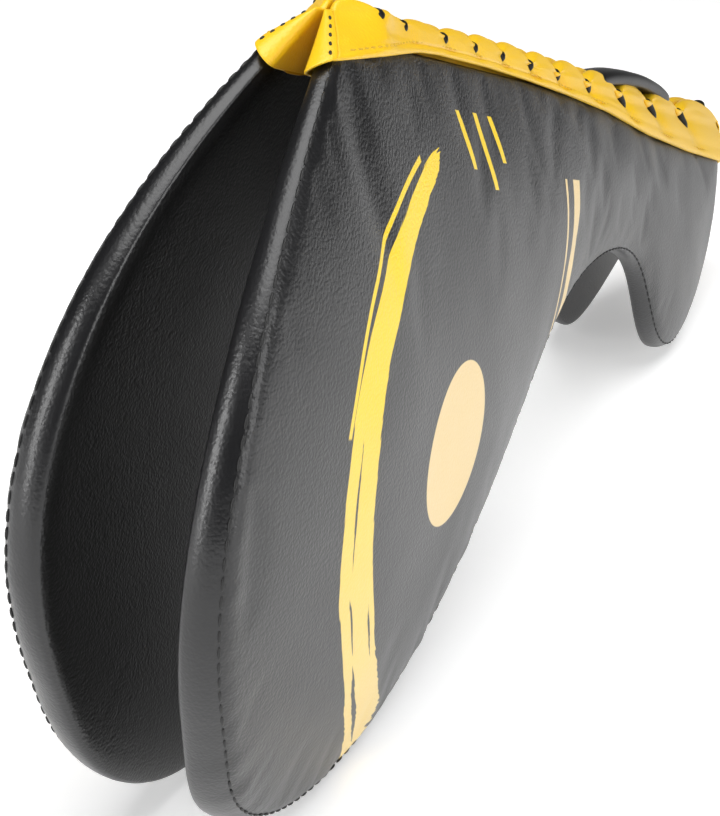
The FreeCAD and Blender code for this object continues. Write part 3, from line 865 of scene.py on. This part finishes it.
for side, word in ((1, "right"), (-1, "left")):
    columns = [share / 330 for share in range(331)]
    grid = []
    for row in range(28):
        line = []
        for share in columns:
            x_rough = REAR_TIP + share * (FRONT_TIP - REAR_TIP)
            near_dip = float(np.interp(x_rough, *zip(*NEAR_DIP)))
            middle_dip = float(np.interp(x_rough, *zip(*MIDDLE_DIP)))
            if row < 13:
                hem = hem_depth(x_rough + (x_rough - REAR_TIP) / 350 * 8)
                s = (hem, hem + 0.35, hem + 0.1, hem - 0.7)[row] if row < 4 else (hem - 0.7) * (12 - row) / 9
                tuck = (-1.3, -0.4, 0.45, 0.75)[row] if row < 4 else 0.75
                x = rear_edge(s) - 0.8 + share * (front_edge(s) - rear_edge(s) + 1.6)
                shape, _ = bump_shape(x + 1.3 * s)
                fold = valley_fold(shape, near_dip, s, hem) if row > 3 else 0
                groove = -0.35 if row == 5 else 0
                w = binding_level(x, s) + tuck - 0.4 + fold + groove
            elif row < 24:
                turn = math.pi * (row - 12.5) / 11
                x = x_rough + 0.8 * (2 * share - 1)
                shape, high = bump_shape(x)
                outer = binding_level(x, 0) + 0.35
                across = 0.5 + 0.5 * math.cos(turn)
                dip = middle_dip + (near_dip - middle_dip) * across
                top = high - dip * (1 - shape) + 0.25
                ends = min(1.0, (FRONT_TIP + 0.6 - x) / 4, (x - REAR_TIP + 0.8) / 9)
                top = -0.6 + (top + 0.6) * math.sqrt(max(0.02, ends * (2 - ends)))
                s = -top * math.sin(turn) ** 0.8
                w = 0.4 + (outer - 0.4) * across
            else:
                s = (1.0, 3.0, 6.0, 8.0)[row - 24]
                x = rear_edge(s) + 0.5 + share * (front_edge(s) - rear_edge(s) - 1.0)
                w = inner_level(s) - 0.55 + 0.02 * s
            line.append(on_paddle(x, s, w, side))
        grid.append(line)
    binding = patch_object(f"{word}_spine_binding", grid, yellow_leather, side > 0)
    finish_sheet(binding, 0.7)
    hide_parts(f"{word}_spine_binding")
    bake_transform(binding)

    hem_line = []
    for step in range(300):
        x = -193 + step * 1.165
        s = hem_depth(x) - 1.7
        hem_line.append(on_paddle(x, s, binding_level(x, s) + 0.15, side))
    thread = sew(f"{word}_binding_stitches", [hem_line], 2.6, 2.0, 0.42, yellow_thread)
    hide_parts(f"{word}_binding_stitches")
    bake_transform(thread)

    # The caps: the binding's ends, folded round the paddle's corner onto the inner face and sewn in black.
    for end, edge, sign, hem_out, hem_in in CAP_ENDS:
        grid = []
        for row in range(14):
            line = []
            for column in range(20):
                round_corner = min(1.0, column / 11)
                back = max(0.0, (column - 11) / 8)
                hem = hem_out + (hem_in - hem_out) * round_corner
                s = -0.4 + (hem + 0.4) * min(1.0, row / 11)
                out, inside = binding_level(edge(s), s) + 0.35, inner_level(s) - 0.7
                w = out + (inside - out) * round_corner
                bulge = math.sin(math.pi * round_corner) ** 0.6 * 2.2
                x = edge(s) + sign * (1.0 + bulge - 20 * back**1.5)
                if row > 11:
                    x -= sign * (0.5, 1.4)[row - 12]
                    s -= (0.1, 0.0)[row - 12]
                line.append(on_paddle(x, s, w, side))
            grid.append(line)
        cap = patch_object(f"{word}_{end}_cap", grid, yellow_leather, (side > 0) != (sign > 0))
        finish_sheet(cap, 0.6)
        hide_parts(f"{word}_{end}_cap")
        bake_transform(cap)
        corner = [
            on_paddle(
                edge(s) + sign * 2.55, s,
                (1 - STITCH_INSET) * (binding_level(edge(s), s) + 0.35) + STITCH_INSET * (inner_level(s) - 0.7),
                side,
            )
            for s in np.linspace(1.6, hem_out - 1.2, 24)
        ]
        corner_thread = sew(f"{word}_{end}_cap_stitches", [corner], 2.1, 1.1, 0.6, black_thread)
        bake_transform(corner_thread)

# ------------------------------------------------------------------ lace
# One round black cord, drawn over the spine in every valley and knotted at both ends. It is made in two halves that
# meet over the middle, so that each half follows its own paddle.

lace_material, _, lace_shader = leather(
    "waxed_lace", (0.004, 0.004, 0.004), (0.011, 0.011, 0.011), 0.42, 1100, 0.00008
)
lace_shader.inputs["Specular IOR Level"].default_value = 0.2


def round_cord(name, runs, thickness, material, order=3):
    """Round cord along smooth runs, as one plain mesh with closed ends."""
    curve = bpy.data.curves.new(name, "CURVE")
    curve.dimensions = "3D"
    curve.bevel_depth = thickness / 2000
    curve.bevel_resolution = 4
    curve.use_fill_caps = True
    for places in runs:
        run = curve.splines.new("NURBS")
        run.points.add(len(places) - 1)
        for point, (place, girth) in zip(run.points, places):
            point.co = (*place, 1)
            point.radius = girth
        run.order_u = order
        run.use_endpoint_u = True
        run.resolution_u = 8
    draft = bpy.data.objects.new(name, curve)
    mesh = bpy.data.meshes.new_from_object(draft)
    bpy.data.objects.remove(draft)
    mesh.materials.clear()
    mesh.materials.append(material)
    mesh.shade_smooth()
    made = bpy.data.objects.new(name, mesh)
    bpy.context.collection.objects.link(made)
    return made


for side, word in ((1, "right"), (-1, "left")):
    passes = []
    for number, valley in enumerate(VALLEYS):
        near_dip = float(np.interp(valley, *zip(*NEAR_DIP)))
        middle_dip = float(np.interp(valley, *zip(*MIDDLE_DIP)))
        reach = float(np.interp(valley, (-140, -60, -10, 30, 150), (6.0, 5.0, 2.6, 0.8, 0.2)))
        sunk = float(np.interp(valley, (-60, 10, 60, 150), (0.0, 0.4, 1.2, 1.6)))
        high = BUMPS[number][1]
        run = []
        for share, above, girth in ((1.0, -0.7, 0.25), (0.75, 0.3, 0.7), (0.4, 0.9, 0.95), (0.05, 1.1, 1.0)):
            x, s = valley - side * 1.3 * reach * share, reach * share
            shape, _ = bump_shape(x + 1.3 * s)
            fold = valley_fold(shape, near_dip, s, hem_depth(x))
            run.append((on_paddle(x, s, binding_level(x, s) + fold + above - sunk, side), girth))
        crest = high - 0.5 * (near_dip + middle_dip) + 1.5 - 0.5 * sunk
        middle = min(crest, high - middle_dip + 1.8)
        run.append((by_lacing(valley, side * 2.7, crest), 1.0))
        run.append((by_lacing(valley, side * 1.2, middle), 1.0))
        run.append((by_lacing(valley, 0.0, middle), 1.0))
        passes.append(run)
    lace = round_cord(f"{word}_lace", passes, 2.8, lace_material)
    if word == "right":
        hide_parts("lace")
    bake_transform(lace)
for name, x, z, back in (("front_lace_knot", 146.0, 0.2, -1), ("rear_lace_knot", -180.0, 4.4, 1)):
    knot = round_cord(
        name,
        [[
            (by_lacing(x + back * 7, 1.5, z - 2.0), 0.8), (by_lacing(x + back * 3, 2.6, z + 0.5), 1.0),
            (by_lacing(x, 0.4, z + 1.4), 1.1), (by_lacing(x - back * 2, -2.2, z + 0.2), 1.1),
            (by_lacing(x + back * 1, -2.4, z - 1.2), 1.0), (by_lacing(x + back * 2, 0.5, z - 0.6), 1.0),
            (by_lacing(x - back * 1.5, 1.6, z + 0.4), 0.9),
        ]],
        2.2, lace_material,
    )
    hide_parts(name)
    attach(knot, "spine")

# ------------------------------------------------------------------ hand loop
# A smooth padded black strap that lies in a low arch over the spine above the grip. Its two feet reach
# down between the bindings.

loop_material, _, loop_shader = leather(
    "smooth_strap", (0.003, 0.003, 0.003), (0.006, 0.006, 0.006), 0.4, 1600, 0.00002
)
loop_shader.inputs["Specular IOR Level"].default_value = 0.2
LOOP = [
    (-25.0, 0.0), (-29.0, 2.4), (-42.0, 4.6), (-58.0, 6.2), (-78.0, 7.0), (-98.0, 6.6), (-113.0, 5.2), (-123.0, 3.2),
    (-126.0, 0.4),
]
centre_line = evenly(spline_points([(x, 0, z - 1.2) for x, z in LOOP], 3, 12), 1.5)
grid = []
for index, (x, _, z) in enumerate(centre_line):
    ahead_x, _, ahead_z = centre_line[min(index + 1, len(centre_line) - 1)] - centre_line[max(index - 1, 0)]
    length = math.hypot(ahead_x, ahead_z)
    up_x, up_z = -ahead_z / length, ahead_x / length
    if up_z < 0:
        up_x, up_z = -up_x, -up_z
    taper = min(1.0, 0.65 + 0.35 * min(index, len(centre_line) - 1 - index) / 8)
    ring = []
    for step in range(16):
        turn = 2 * math.pi * step / 16
        wide = 4.6 * taper * math.copysign(abs(math.cos(turn)) ** 0.6, math.cos(turn))
        thick = 2.2 * math.copysign(abs(math.sin(turn)) ** 0.8, math.sin(turn))
        ring.append(by_lacing(x + up_x * thick, wide, z + up_z * thick))
    grid.append(ring)
shape = bmesh.new()
ring_verts = [[shape.verts.new(place) for place in ring] for ring in grid]
for ring, after in zip(ring_verts, ring_verts[1:]):
    for step in range(16):
        shape.faces.new((ring[step], ring[(step + 1) % 16], after[(step + 1) % 16], after[step]))
shape.faces.new(ring_verts[0])
shape.faces.new(reversed(ring_verts[-1]))
bmesh.ops.recalc_face_normals(shape, faces=shape.faces)
loop_mesh = bpy.data.meshes.new("hand_loop")
shape.to_mesh(loop_mesh)
shape.free()
loop_mesh.materials.append(loop_material)
loop_mesh.shade_smooth()
hand_loop = bpy.data.objects.new("hand_loop", loop_mesh)
bpy.context.collection.objects.link(hand_loop)
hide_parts("hand_loop", "front_loop_anchor", "rear_loop_anchor")
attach(hand_loop, "spine")
